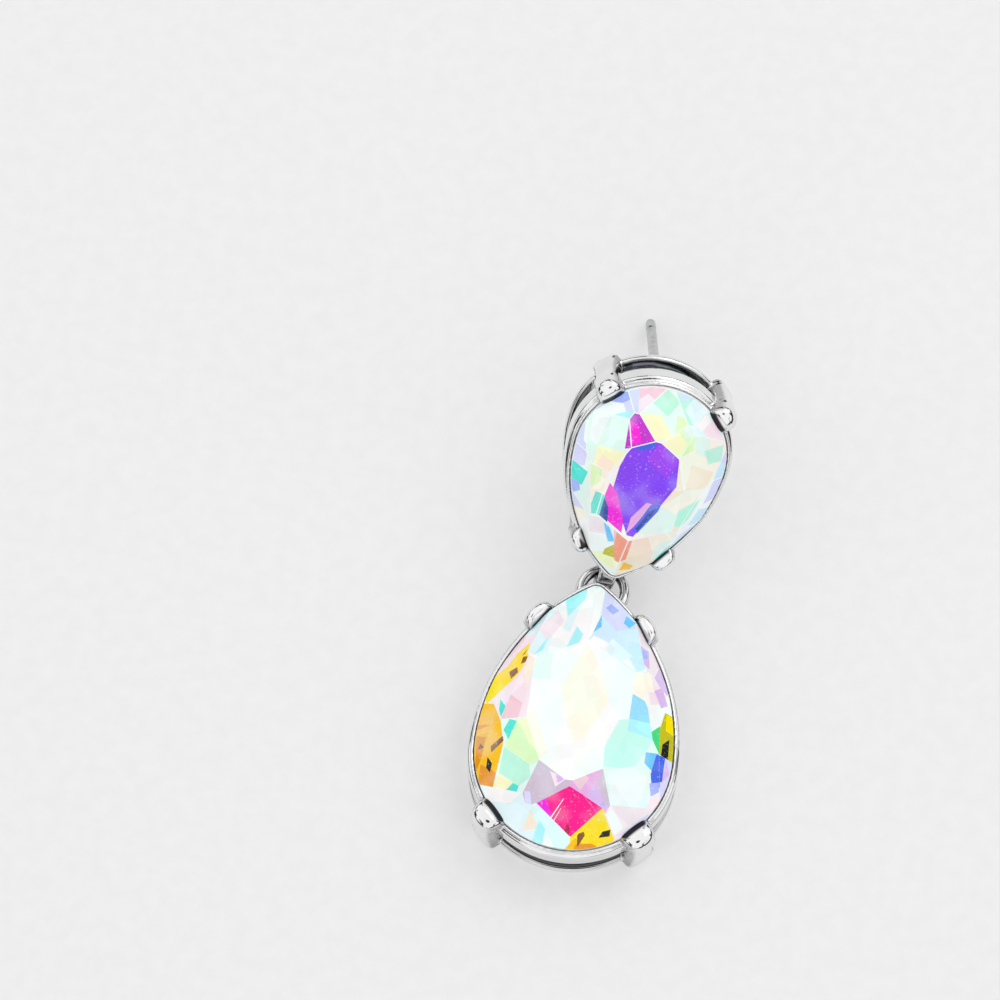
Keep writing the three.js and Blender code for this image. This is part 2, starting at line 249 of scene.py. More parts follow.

# What each crown facet shows, all of it painted reflections: a ground colour, and the patches that
# its mirror image of the foil breaks into, with their corners in millimetres to the right of and
# above the centre of the round end. Facets go by the direction they face, in degrees from the
# stone's point, positive on the left of the picture.
DROP_PAINTED_REFLECTIONS = {
    "table": (SNOW, (
        (CREAM, ((0, 7.0), (-1.4, 3.8), (-0.3, 0.4), (0.4, 0.2), (1.9, 3.2), (1.1, 5.2))),
        (ICE, ((0.8, 6.9), (1.1, 5.2), (1.9, 3.2), (3.3, 1.4), (3.4, 5.6))),
        (SEAFOAM, ((2.7, 2.1), (3.4, 2.3), (3.4, 1.3), (2.1, -1.3), (2.0, 0.2))),
        (PALE_MINT, ((-3.4, 5.5), (-3.4, 4.1), (-2.1, 4.2), (-2.2, 6.1))),
        (CREAM, ((-3.4, 1.6), (-2.1, -1.3), (-1.6, -0.6), (-2.9, 2.0))))),
    0: (PALE_SKY, ()),
    28: (SNOW, (
        (PALE_AQUA, ((-3.6, 9.6), (-4.0, 6.0), (-2.6, 5.4), (-2.2, 9.2))),
        (BLUSH, ((-3.4, 7.9), (-2.7, 6.8), (-1.8, 8.5), (-2.3, 9.4))),
        (AQUA, ((-2.0, 10.5), (-1.6, 8.9), (-0.6, 10.4), (-0.6, 11.5))),
        (PALE_AQUA, ((-1.8, 7.8), (-1.3, 7.7), (-0.9, 9.8), (-1.6, 8.9))),
        (AQUA, ((-1.4, 6.4), (-0.6, 6.9), (-0.4, 7.6), (-0.9, 8.2))),
        (AQUA, ((-3.4, 5.8), (-2.9, 6.1), (-2.6, 7.4))))),
    60: (BLUSH, (
        (PALE_AQUA, ((-5.0, 7.4), (-3.6, 7.4), (-2.8, 9.4), (-4.0, 9.2))),
        (YELLOW, ((-6.2, 4.2), (-3.8, 5.4), (-3.8, 7.5), (-4.6, 5.9))),
        (BROWN, ((-4.3, 5.5), (-4.1, 5.5), (-3.9, 6.2))))),
    82: (BLUSH, (
        (YELLOW, ((-6.6, 4.6), (-6.1, 2.4), (-4.4, 4.2), (-3.6, 5.5), (-4.2, 6.4))),
        (GOLD, ((-7.0, 2.6), (-7.0, 0.0), (-5.4, 0.3), (-5.0, 1.2), (-5.6, 2.4))),
        (TURQUOISE, ((-5.2, 2.7), (-5.2, 2.0), (-4.9, 1.2), (-4.8, 2.2))),
        (ORANGE, ((-6.7, 0.9), (-6.5, 0.6), (-5.6, 0.9), (-6.0, 1.0))),
        (BROWN, ((-4.9, 4.6), (-4.7, 4.1), (-4.3, 4.5), (-4.4, 4.9))),
        (BROWN, ((-4.1, 5.6), (-4.2, 5.1), (-3.9, 5.2), (-3.8, 5.6))))),
    90: (BLUSH, (
        (PEACH, ((-3.5, 6.0), (-3.9, 4.6), (-3.6, 3.4), (-3.3, 5.0))),
        (PINK, ((-5.0, 1.2), (-3.9, 1.2), (-3.7, 2.4), (-4.6, 3.0))))),
    99: (GOLD, (
        (ORANGE, ((-6.4, 0.2), (-6.2, -2.4), (-5.9, -1.2), (-5.8, 0.1))),
        (BROWN, ((-6.1, -0.3), (-6.2, -0.7), (-5.8, -0.6))))),
    114: (PALE_MINT, (
        (LIME, ((-4.4, 0.9), (-4.4, -0.5), (-2.7, -1.6), (-2.0, -1.3), (-3.2, 1.5))),
        (LEMON, ((-3.9, 1.3), (-2.9, -0.2), (-2.1, -0.9), (-3.2, 1.5))),
        (MINT, ((-4.5, -0.5), (-4.6, -2.2), (-3.2, -3.0), (-2.5, -2.4), (-2.7, -1.6))),
        (LEMON, ((-4.6, -2.2), (-5.0, -3.3), (-4.0, -3.5), (-3.6, -2.8))),
        (TURQUOISE, ((-4.0, -3.3), (-3.3, -3.5), (-3.2, -3.0), (-3.6, -2.8))),
        (TURQUOISE, ((-4.7, 0.6), (-4.3, 0.0), (-3.9, 1.2), (-4.4, 1.3))),
        (GOLD, ((-5.7, 0.6), (-6.2, -2.3), (-5.7, -3.3), (-4.9, -3.3), (-4.6, -0.3), (-5.0, 1.3))),
        (ORANGE, ((-5.9, -1.7), (-5.9, -3.1), (-4.9, -3.3), (-4.8, -2.2), (-5.1, -2.0))),
        (BROWN, ((-5.4, -0.5), (-5.3, -0.9), (-4.6, -0.1), (-4.7, 0.2))),
        (INK, ((-5.5, -1.2), (-5.5, -1.9), (-5.2, -2.2), (-5.15, -1.6))))),
    132: (PALE_AQUA, ((SNOW, ((-5.6, -3.0), (-5.2, -4.0), (-3.6, -4.1), (-3.0, -3.4))),)),
    150: (MAUVE, (
        (BLUSH, ((-1.3, -1.9), (-0.7, -3.1), (-0.2, -2.3))),
        (LILAC, ((-0.9, -2.1), (-0.7, -2.6), (-0.4, -2.4), (-0.3, -2.2))),
        (LAVENDER, ((-2.8, -3.3), (-2.6, -4.1), (-2.2, -4.1), (-2.4, -3.3))))),
    163: (PALE_AQUA, (
        (SNOW, ((-1.2, -6.6), (-0.9, -5.0), (-0.2, -6.0), (-0.3, -6.6))),
        (PEACH, ((-2.6, -5.6), (-1.5, -5.5), (-2.2, -4.4))),
        (AQUA, ((-1.9, -6.4), (-1.2, -6.4), (-1.1, -5.3), (-1.6, -5.0))))),
    180: (MAGENTA, (
        (FUCHSIA, ((-2.1, -4.2), (-1.0, -5.0), (-0.8, -4.6), (-1.4, -3.4))),
        (CREAM, ((-0.95, -4.85), (-0.88, -4.9), (-0.15, -3.5), (-0.19, -3.48))),
        (PEACH, ((-0.72, -5.0), (-0.66, -5.03), (-0.25, -4.1), (-0.28, -4.08))),
        (CRIMSON, ((0.1, -5.8), (0.5, -5.7), (0.45, -5.1), (0.2, -5.0))),
        (MAUVE, ((-2.4, -4.0), (-1.9, -3.98), (0.09, -2.7), (0.1, -2.2), (-0.6, -2.2))),
        (ROSE, ((0.09, -2.7), (1.0, -3.1), (0.4, -2.2), (0.1, -2.2))),
        (PALE_AQUA, ((-2.4, -4.1), (-1.9, -3.98), (0.57, -5.73), (0.57, -6.8), (-0.6, -6.8))),
        (YELLOW, ((0.57, -5.73), (2.41, -3.73), (2.6, -4.2), (0.9, -6.8), (0.57, -6.8))))),
    -28: (PALE_SKY, (
        (SNOW, ((0.0, 11.8), (0.0, 7.2), (0.5, 8.6), (0.6, 11.4))),
        (SKY, ((0.2, 7.8), (0.7, 8.4), (0.6, 9.3))),
        (LAVENDER, ((0.6, 9.3), (1.7, 8.3), (3.0, 8.8), (1.8, 10.5), (0.6, 11.2))),
        (SKY, ((2.1, 9.0), (2.5, 8.7), (2.9, 9.2), (2.2, 9.6))),
        (PERIWINKLE, ((0.8, 9.9), (1.3, 9.5), (1.7, 9.9), (1.1, 10.3))),
        (SNOW, ((0.3, 7.6), (0.1, 7.2), (3.4, 5.5), (2.4, 6.9))),
        (PALE_AQUA, ((1.2, 6.7), (2.2, 6.0), (3.0, 6.6), (1.5, 7.7))))),
    -60: (BLUSH, (
        (LILAC, ((3.2, 7.6), (3.4, 6.3), (4.2, 6.0), (4.0, 7.4))),
        (PERIWINKLE, ((3.4, 7.2), (3.6, 6.5), (4.0, 6.8), (3.9, 7.4))),
        (LILAC, ((4.6, 5.5), (5.6, 4.3), (5.6, 5.2), (4.8, 6.4))))),
    -82: (SNOW, (
        (BLUSH, ((3.9, 5.6), (4.6, 3.6), (5.6, 4.0), (4.6, 6.2))),
        (LILAC, ((4.7, 4.6), (5.3, 3.6), (5.7, 3.9), (5.2, 5.0))),
        (CREAM, ((3.8, 5.5), (4.1, 4.3), (4.7, 4.5), (4.3, 5.8))),
        (GREEN, ((4.9, 1.8), (4.6, 0.4), (5.6, 0.3), (5.4, 2.4))),
        (OLIVE, ((5.4, 2.2), (5.6, 0.2), (6.8, 0.2), (6.4, 3.2), (5.6, 3.4))),
        (YELLOW, ((5.7, 3.3), (5.8, 2.2), (6.4, 2.0), (6.3, 3.2))),
        (INK, ((5.7, 1.2), (5.7, 0.3), (6.2, 0.2), (6.1, 1.7))))),
    -90: (CREAM, (
        (AZURE, ((3.3, 4.0), (3.3, 1.3), (5.1, 1.2), (4.8, 2.7), (4.2, 3.7))),
        (AQUA, ((3.3, 2.3), (3.3, 1.3), (5.1, 1.2), (4.9, 2.3))))),
    -99: (LAVENDER, (
        (ROYAL, ((5.5, 0.4), (5.6, -1.4), (6.0, -1.2), (6.0, 0.4))),
        (LILAC, ((6.1, 0.2), (6.0, -1.2), (6.4, -0.6))))),
    -114: (PALE_MINT, (
        (SEAFOAM, ((2.2, -1.1), (2.9, 1.0), (3.3, 1.5), (5.0, 1.2), (4.6, 0.2), (3.9, -0.9))),
        (ICE, ((2.4, -1.4), (3.9, -0.7), (5.0, -1.2), (4.8, -3.2), (2.9, -3.4))),
        (PALE_AQUA, ((4.6, -2.9), (5.4, -1.8), (5.5, -3.1), (4.9, -3.4))),
        (PALE_SKY, ((4.6, 0.3), (4.9, -0.5), (5.5, 0.0), (5.5, 0.5))),
        (SKY, ((4.7, 0.4), (4.7, -0.3), (5.4, -0.8), (5.6, 0.5))),
        (ROYAL, ((5.4, 0.4), (5.2, -0.9), (5.4, -1.8), (5.9, -1.6), (5.8, 0.4))),
        (PERIWINKLE, ((5.2, -1.5), (5.4, -2.3), (5.9, -1.9), (5.8, -1.3))),
        (BLUSH, ((5.4, -2.3), (5.2, -3.2), (6.0, -3.2), (6.0, -2.0))))),
    -132: (BLUSH, (
        (SNOW, ((2.9, -3.4), (2.7, -4.1), (3.4, -5.2), (3.9, -4.6))),
        (LAVENDER, ((3.6, -5.2), (3.9, -4.9), (5.4, -3.4), (5.6, -4.0))))),
    -150: (ROSE, (
        (PINK, ((0.2, -2.3), (0.8, -2.9), (1.3, -2.0), (0.9, -1.8))),
        (LILAC, ((1.3, -3.4), (1.6, -2.3), (2.4, -2.6), (2.2, -4.1))),
        (MAUVE, ((2.1, -1.2), (1.9, -2.2), (2.6, -3.6), (2.9, -3.4))),
        (PERIWINKLE, ((2.2, -3.6), (2.4, -3.3), (2.7, -3.6))),
        (MAGENTA, ((0.57, -5.73), (0.09, -2.7), (2.41, -3.73))),
        (YELLOW, ((1.5, -4.7), (2.41, -3.73), (2.75, -4.1), (2.2, -4.6))))),
    -163: (YELLOW, (
        (GOLD, ((0.3, -6.6), (0.6, -5.6), (1.6, -6.1), (2.0, -6.3))),
        (ORANGE, ((0.8, -6.6), (1.0, -6.1), (2.0, -5.9), (2.6, -6.1), (2.0, -6.6))),
        (BROWN, ((1.1, -6.3), (1.0, -5.5), (1.4, -5.3), (1.5, -5.5))),
        (INK, ((2.4, -5.5), (2.6, -5.1), (3.1, -4.9), (3.1, -5.3))))),
}
STUD_PAINTED_REFLECTIONS = {
    "table": (CREAM, (
        (PEACH, ((1.6, 1.1), (1.3, -2.7), (2.6, -1.2), (2.6, -0.8))),
        (PALE_MINT, ((0.4, -5.0), (2.6, -4.3), (2.6, -3.0), (1.4, -2.6))),
        (VIOLET, ((-1.7, 1.0), (-2.0, -0.5), (-2.0, -2.3), (-0.2, -5.2), (0.3, -5.2), (1.3, -2.7),
                  (2.0, -1.1), (1.6, 1.1), (0.2, 1.9), (-0.2, 1.9))),
        (ORCHID, ((0.1, 1.8), (-0.4, 0.4), (1.2, -0.6), (1.7, 0.8))),
        (ROSE, ((-0.3, -5.1), (-0.3, -3.9), (0.4, -2.6), (0.8, -2.6), (0.1, -4.4))),
        (ROYAL, ((-1.6, 1.1), (-1.0, 0.9), (-0.1, 1.4), (-0.3, 1.9))),
        (ROYAL, ((0.1, -4.6), (0.7, -2.7), (1.4, -2.3), (1.3, -3.0), (0.4, -4.9))),
        (NAVY, ((0.2, -4.6), (0.8, -3.1), (1.2, -2.8), (0.4, -4.7))),
        (SNOW, ((-2.6, -0.9), (-2.6, -2.2), (-2.2, -2.0), (-2.0, -0.6))),
        (FUCHSIA, ((-2.3, -1.8), (-2.4, -2.9), (-1.7, -4.5), (-0.6, -5.1), (-0.7, -4.3), (-1.6, -2.4))),
        (NAVY, ((-2.4, -2.8), (-2.4, -4.2), (-1.7, -4.6), (-1.9, -3.6))),
        (TURQUOISE, ((-2.6, -2.7), (-2.6, -4.3), (-2.35, -4.3), (-2.35, -2.8))))),
    0: (PEACH, ()),
    28: (SNOW, (
        (BLUSH, ((-2.9, -4.5), (-2.6, -5.9), (-1.4, -5.6), (-1.6, -4.4))),
        (PALE_SKY, ((-2.0, -4.6), (-1.4, -5.9), (-0.7, -6.1), (-1.4, -4.9))),
        (SKY, ((-1.9, -4.7), (-1.2, -6.2), (-0.8, -6.0), (-1.5, -4.9))),
        (LEMON, ((-1.9, -7.6), (-1.0, -8.2), (-0.1, -8.4), (-0.3, -7.2), (-0.9, -6.9))),
        (OLIVE, ((-1.2, -6.9), (-1.2, -7.4), (-0.2, -7.4), (-0.7, -6.2))),
        (PINK, ((-1.2, -4.8), (-0.8, -6.2), (0.0, -5.2))),
        (CORAL, ((-0.9, -5.1), (-0.75, -6.4), (-0.35, -7.6), (0.0, -7.7), (0.0, -5.4))))),
    60: (CREAM, (
        (LAVENDER, ((-4.4, -3.6), (-4.0, -4.8), (-3.4, -4.4), (-3.2, -4.0))),
        (SNOW, ((-3.4, -5.8), (-2.9, -4.6), (-2.2, -7.2), (-2.6, -7.4))))),
    82: (PALE_MINT, (
        (LAVENDER, ((-5.0, 0.0), (-4.8, -1.8), (-4.1, -1.4), (-4.2, -0.4))),
        (TURQUOISE, ((-4.9, -1.5), (-4.6, -3.0), (-3.9, -2.8), (-3.8, -1.7))),
        (PERIWINKLE, ((-4.7, -2.8), (-4.3, -3.7), (-3.9, -3.2), (-4.1, -2.7))))),
    90: (CREAM, (
        (LIME, ((-3.9, -1.0), (-3.5, -2.9), (-2.9, -1.9), (-3.0, -1.1))),
        (TURQUOISE, ((-3.0, -2.7), (-3.1, -4.4), (-2.5, -4.4), (-2.5, -2.7))))),
    99: (LAVENDER, ((SNOW, ((-4.8, 1.6), (-4.6, 0.2), (-4.3, 0.0), (-4.3, 1.6))),)),
    114: (PALE_MINT, (
        (LEMON, ((-3.7, 0.3), (-3.6, -1.1), (-2.5, -1.1), (-1.8, 0.5))),
        (SNOW, ((-4.5, 2.3), (-4.3, 0.4), (-3.7, 0.3), (-3.4, 2.4))),
        (PEACH, ((-3.2, -0.2), (-3.6, -1.1), (-2.5, -1.1), (-2.4, -0.4))),
        (PURPLE, ((-2.2, 2.7), (-2.0, 0.75), (-1.5, 1.0), (-2.0, 2.7))))),
    132: (LAVENDER, (
        (PERIWINKLE, ((-3.8, 3.6), (-3.4, 2.9), (-2.3, 3.9), (-2.8, 4.2))),
        (SNOW, ((-4.4, 2.3), (-2.3, 2.7), (-2.8, 3.4), (-3.6, 3.2))),
        (AQUA, ((-3.4, 2.4), (-2.2, 2.6), (-1.9, 3.2), (-2.5, 3.0))))),
    150: (PURPLE, (
        (FUCHSIA, ((-2.3, 2.6), (-1.9, 1.0), (-1.1, 1.5), (-1.5, 2.5))),)),
    163: (LAVENDER, (
        (PINK, ((-2.0, 4.5), (-1.7, 3.1), (-0.2, 4.9), (-1.2, 5.1))),
        (BLUSH, ((-1.9, 3.9), (-1.7, 3.0), (-0.9, 4.2), (-1.4, 4.4))))),
    180: (PALE_MINT, (
        (LEMON, ((-1.6, 3.2), (-0.2, 1.8), (0.8, 2.3), (-0.3, 3.4))),
        (MINT, ((-1.0, 4.0), (0.2, 3.4), (0.8, 4.4), (-0.3, 5.0))),
        (LIME, ((0.8, 3.6), (0.9, 2.5), (1.6, 2.9), (1.6, 3.4))))),
    -28: (PEACH, (
        (CREAM, ((1.2, -5.0), (2.6, -4.2), (3.0, -4.5), (2.6, -6.4), (1.8, -6.2))),
        (PALE_MINT, ((2.0, -5.6), (2.9, -4.9), (2.5, -6.6), (1.9, -7.0))),
        (CORAL, ((0.0, -5.4), (0.0, -7.6), (0.35, -7.3), (0.25, -5.5))),
        (GOLD, ((0.2, -8.4), (0.3, -7.6), (1.0, -7.8), (0.9, -8.2))))),
    -60: (PALE_AQUA, (
        (TURQUOISE, ((2.0, -7.4), (2.2, -6.8), (2.8, -6.2), (2.9, -6.6))),
        (LAVENDER, ((3.0, -5.4), (3.2, -4.6), (4.0, -4.0), (4.2, -4.4))))),
    -82: (SNOW, (
        (LAVENDER, ((4.4, -0.4), (4.2, -2.2), (5.0, -1.8), (5.1, -0.2))),
        (PALE_SKY, ((4.0, -2.6), (3.6, -3.8), (4.4, -3.8), (4.8, -2.6))),
        (MINT, ((3.3, -2.2), (3.0, -3.9), (3.5, -3.2), (3.9, -1.7))))),
    -90: (PEACH, (
        (CREAM, ((2.5, -1.0), (2.5, -2.6), (3.4, -2.0), (3.9, -1.0))),
        (MINT, ((2.5, -2.8), (2.6, -3.8), (3.2, -3.8), (3.7, -1.8))))),
    -99: (LAVENDER, ((PALE_SKY, ((4.3, 1.0), (4.3, -0.4), (5.0, -0.2), (4.9, 0.8))),)),
    -114: (CREAM, (
        (LIME, ((1.7, 2.2), (1.6, 1.0), (2.4, 1.6), (2.3, 2.6))),
        (PALE_MINT, ((2.2, 2.7), (2.6, 1.4), (3.6, 1.2), (3.4, 2.4))),
        (MINT, ((3.2, 1.6), (3.7, 0.7), (4.5, 1.0), (4.4, 2.1))),
        (PEACH, ((2.6, 0.6), (2.6, -1.1), (4.0, -1.0), (4.2, 0.2))))),
    -132: (PALE_AQUA, (
        (BLUSH, ((2.6, 3.2), (3.2, 2.3), (4.3, 2.4), (3.4, 3.5))),
        (SNOW, ((2.2, 3.2), (2.6, 3.9), (3.2, 3.6), (2.7, 2.9))))),
    -150: (LIME, (
        (LEMON, ((0.2, 1.8), (1.6, 1.0), (1.9, 2.0), (1.2, 2.6))),
        (PALE_MINT, ((1.4, 3.2), (1.6, 2.3), (2.3, 2.6), (2.0, 3.2))))),
    -163: (MINT, (
        (PALE_AQUA, ((1.2, 4.0), (2.0, 3.2), (2.7, 4.2), (1.6, 4.7))),
        (PALE_SKY, ((0.4, 5.0), (0.9, 4.4), (1.8, 4.7), (1.2, 5.0))))),
}
PAVILION_COLOURS = (
    (0.56, 0.57, 0.59), (0.30, 0.36, 0.40), (0.48, 0.46, 0.56), (0.22, 0.23, 0.25), (0.60, 0.58, 0.50),
    (0.36, 0.37, 0.39), (0.34, 0.46, 0.42))
FOIL_GREY = (0.20, 0.20, 0.22)
COOL_LIGHT = (0.94, 1.0, 1.0, 1)
WARM_LIGHT = (1.0, 0.96, 0.98, 1)

# Each stone's outline in millimetres: its width, its length and the radius of its point.
DROP_OUTLINE = (13, 18, 0.7)
STUD_OUTLINE = (10, 14, 0.6)
POLISHED_EDGE = 0.07 * MM
SCORE = 0.001 * MM
# The least angle between two facets, in radians.
FACET_ANGLE = 0.12
# The largest tilt of the table and of the crown's facets, the least tilt of the back's, and how
# far round the back one colour of the foil goes, in degrees.
TABLE_TILT = 3
CROWN_TILT = 80
BACK_TILT = 93
FOIL_TURN = 9

# The crown's painted reflections, paler in patches and specks, with a painted cast of light that drifts from
# cool to warm and painted sparkle in small cells. The crystal also glows a little, a painted light that
# keeps its facets bright.
coated, shade = finish_of("coated crystal")
tint_and_painted_light = shade.node("Attribute", {"attribute_name": "facet_tint_and_painted_light"})
coords = shade.node("TexCoord", output="Object")
cells = shade.node("TexVoronoi", None, {"Vector": coords, "Scale": 900.0}, "Color")
sparkle = shade.node("SeparateXYZ", None, {"Vector": cells}, "X")
cell_glint = shade.node("SeparateXYZ", None, {"Vector": cells}, "Y")
pale_patches = shade.noise(450.0, 1.0).between(0.48, 0.72)
hue = shade.noise(280.0, 0.0).between(0.4, 0.6)
dust = shade.noise(6500.0, 2.0).between(0.60, 0.72)
colour = (pale_patches * 0.17).mix(tint_and_painted_light, (*SNOW, 1))
colour = shade.node(
    "VectorMath", {"operation": "MULTIPLY"}, {0: colour, 1: hue.mix(COOL_LIGHT, WARM_LIGHT)})
colour = (dust * 0.24).mix(colour, (*SNOW, 1))
tone = sparkle * 0.06 + cell_glint.between(0.70, 0.71) * 0.03 + 0.96
colour = shade.node("VectorMath", {"operation": "SCALE"}, {0: colour, "Scale": tone})
shade.surface({"Base Color": colour, "Roughness": 0.02, "IOR": 1.5, "Transmission Weight": 0.25,
               "Specular IOR Level": 0.2, "Emission Color": colour, "Emission Strength": 0.27})

foil, shade = finish_of("foil")
tint_and_painted_light = shade.node("Attribute", {"attribute_name": "facet_tint_and_painted_light"})
mottle = shade.noise(700.0, 4.0)
colour = (mottle.between(0.35, 0.65) * 0.35).mix(tint_and_painted_light, (*FOIL_GREY, 1))
shade.surface({"Base Color": colour, "Metallic": 1.0, "Roughness": mottle * 0.06 + 0.03})


def patch_faces(mesh, faces, origin, across, along, corners):
    """Score the faces along the sides of a patch and return the ones inside it."""
    turning = sum(a * d - b * c for (a, b), (c, d) in zip(corners, corners[1:] + corners[:1]))
    up = across.cross(along) * math.copysign(1, turning)
    corners = [origin + across * x * MM + along * y * MM for x, y in corners]
    for start, end in zip(corners, corners[1:] + corners[:1]):
        outward = (end - start).cross(up).normalized()
        parts = set(faces)
        parts.update(edge for face in faces for edge in face.edges)
        parts.update(vert for face in faces for vert in face.verts)
        done = bmesh.ops.bisect_plane(
            mesh, geom=list(parts), dist=SCORE, plane_co=start, plane_no=outward)
        faces = [face for face in done["geom"] if isinstance(face, bmesh.types.BMFace)
                 and (face.calc_center_median() - start).dot(outward) < 0]
        if not faces:
            break
    return faces


def round_end_centre(corners, outline, up, point, below=0):
    """The centre of a stone's round end, level with its table or so far below it."""
    width, length = outline[:2]
    side = up.cross(point)
    across = [corner.dot(side) for corner in corners]
    reach = max(corner.dot(point) for corner in corners)
    top = max(corner.dot(up) for corner in corners)
    return (point * (reach - (length - width / 2) * MM) + up * (top - below)
            + side * (max(across) + min(across)) / 2)


def make_stone(node, name, outline, painted_reflections, point_up):
    """Make a stone from its solid and return where its table and its point face."""
    mesh = bmesh.new()
    mesh.from_mesh(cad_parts[node].data)
    bmesh.ops.remove_doubles(mesh, verts=mesh.verts, dist=0.002 * MM)
    bmesh.ops.dissolve_limit(mesh, angle_limit=math.radians(1), verts=mesh.verts, edges=mesh.edges)
    mesh.normal_update()
    up = max(mesh.faces, key=lambda face: face.calc_area()).normal.copy()
    corners = [vert.co.copy() for vert in mesh.verts]
    middle = sum(corners, Vector()) / len(corners)
    point = max(corners, key=lambda corner: (corner - middle).length) - middle
    point = (point - up * point.dot(up)).normalized()
    along = point if point_up else -point
    across = along.cross(up)
    origin = round_end_centre(corners, outline, up, point)

    facets = [face.normal.copy() for face in mesh.faces]
    sharp = [edge for edge in mesh.edges
             if len(edge.link_faces) == 2 and edge.calc_face_angle() > FACET_ANGLE]
    bmesh.ops.bevel(mesh, geom=sharp, offset=POLISHED_EDGE, offset_type="WIDTH", affect="EDGES",
                    segments=1, profile=0.5, material=-1, clamp_overlap=True)

    # Polished edges keep the first colour, white, as a painted highlight. The back goes through the
    # foil's colours, and the faces of the crown are gathered by the facet that they are part of.
    tint = mesh.faces.layers.int.new("tint")
    facet = mesh.faces.layers.int.new("facet")
    palette = [SNOW, *PAVILION_COLOURS]
    turns = [key for key in painted_reflections if key != "table"]
    crown = {}
    for face in mesh.faces:
        tilt = math.degrees(face.normal.angle(up))
        turn = math.degrees(math.atan2(-face.normal.dot(across), face.normal.dot(point)))
        face.material_index = int(tilt > BACK_TILT)
        if tilt > BACK_TILT:
            face[tint] = 1 + int(turn + 180) // FOIL_TURN % len(PAVILION_COLOURS)
        elif tilt < CROWN_TILT and max(normal.dot(face.normal) for normal in facets) > 0.99998:
            near = min(turns, key=lambda key: abs((turn - key + 180) % 360 - 180))
            crown.setdefault("table" if tilt < TABLE_TILT else near, []).append(face)
    for number, faces in enumerate(crown.values(), 1):
        for face in faces:
            face[facet] = number
    for number, key in enumerate(crown, 1):
        ground, patches = painted_reflections[key]
        for shown, outline_of_patch in ((ground, None), *patches):
            faces = [face for face in mesh.faces if face[facet] == number]
            if outline_of_patch:
                faces = patch_faces(mesh, faces, origin, across, along, outline_of_patch)
            for face in faces:
                face[tint] = len(palette)
            palette.append(shown)
    # Each face keeps its colour: the foil's tint on the back, and painted reflections and painted highlights
    # on the crown.
    layer = mesh.loops.layers.float_color.new("facet_tint_and_painted_light")
    for face in mesh.faces:
        for loop in face.loops:
            loop[layer] = (*palette[face[tint]], 1)

    data = bpy.data.meshes.new(name)
    mesh.to_mesh(data)
    mesh.free()
    data.materials.append(coated)
    data.materials.append(foil)
    made = bpy.data.objects.new(name, data)
    bpy.context.scene.collection.objects.link(made)
    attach(made, "root")
    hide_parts(node)
    return up, point


drop_facing = make_stone("drop_stone", "drop_crystal", DROP_OUTLINE, DROP_PAINTED_REFLECTIONS, True)
stud_facing = make_stone("stud_stone", "stud_crystal", STUD_OUTLINE, STUD_PAINTED_REFLECTIONS, False)

# The settings: baskets cast in white metal and plated with rhodium, with what is soldered to them,
# so each is one body with small fillets where its members meet. A stone drops into the bezel of
# its basket, and the claws are pressed over its edge.
# A basket is modelled in millimetres in a frame of its own: the origin lies on the back plane
# under the centre of the pear's round end, the point lies towards -y, and the stone faces +z. It
# has three sizes: its depth, the height of its rail, and that of the gallery from rail to bezel.
WALL = 0.45
RAIL_ROUNDING = 0.2
VOXEL = 0.085
SEAT_CLEARANCE = 1.008
POST_START = -0.35
# Rays from each corner of the mesh tell how shut in it is, which sets its painted shade. They
# start just above the metal.
RAYS = 24
RAY_TURN = 2.4
RAY_START = 0.03
RAY_END = 3.2
PLATE_DARK = (0.80, 0.80, 0.81, 1)
PLATE_LIGHT = (0.86, 0.86, 0.86, 1)
PAINTED_BLACK = (0.025, 0.025, 0.03, 1)

# The plate is painted near black where the mesh stores painted shade and painted dark reflections.
plate, shade = finish_of("rhodium plate")
cloud = shade.noise(420.0, 3.0)
painted_shade_and_reflection = shade.node("Attribute", {"attribute_name": "painted_shade_and_reflection"}, output="Fac")
tone = painted_shade_and_reflection.mix(cloud.between(0.35, 0.65).mix(PLATE_DARK, PLATE_LIGHT), PAINTED_BLACK)
bump = shade.node("Bump", None, {"Height": cloud, "Strength": 0.05, "Distance": 0.02 * MM})
shade.surface({"Base Color": tone, "Metallic": 1.0, "Roughness": cloud * 0.06 + 0.05, "Normal": bump})


def point_y(outline):
    return outline[0] / 2 - outline[1]


def flank_radius(outline):
    """The radius of the two arcs that join the pear's round end to its point."""
    width, length, point = outline
    round_end = width / 2
    point_centre = length - round_end - point
    return (round_end ** 2 - point ** 2 + point_centre ** 2) / (2 * (round_end - point))


def pear_points(outline, offset):
    """Corners round the pear, so far outside its outline."""
    round_end, point = outline[0] / 2, outline[2]
    flank = flank_radius(outline)
    flank_centre = flank - round_end
    radius = max(point + offset, 0.1)
    tip = math.sqrt((flank + offset - radius) ** 2 - flank_centre ** 2)
    turn = math.atan2(tip, flank_centre)
    arcs = (
        (0, 0, round_end + offset, 0, math.pi, 72),
        (flank_centre, 0, flank + offset, math.pi, math.pi + turn, 40),
        (0, -tip, radius, math.pi + turn, 2 * math.pi - turn, 16),
        (-flank_centre, 0, flank + offset, 2 * math.pi - turn, 2 * math.pi, 40),
    )
    return [
        Vector((x + r * math.cos(a), y + r * math.sin(a), 0))
        for x, y, r, start, end, steps in arcs
        for a in (start + (end - start) * step / steps for step in range(steps))
    ]


def rim_point(outline, azimuth):
    """The point of the pear's outline that faces an azimuth."""
    round_end = outline[0] / 2
    facing = Vector((math.cos(azimuth), math.sin(azimuth), 0))
    if facing.y >= 0:
        return facing * round_end
    flank = flank_radius(outline)
    return facing * flank - Vector((math.copysign(flank - round_end, facing.x), 0, 0))


def closed_wire(mesh, corners):
    verts = [mesh.verts.new(corner) for corner in corners]
    return [mesh.edges.new(pair) for pair in zip(verts, verts[1:] + verts[:1])]


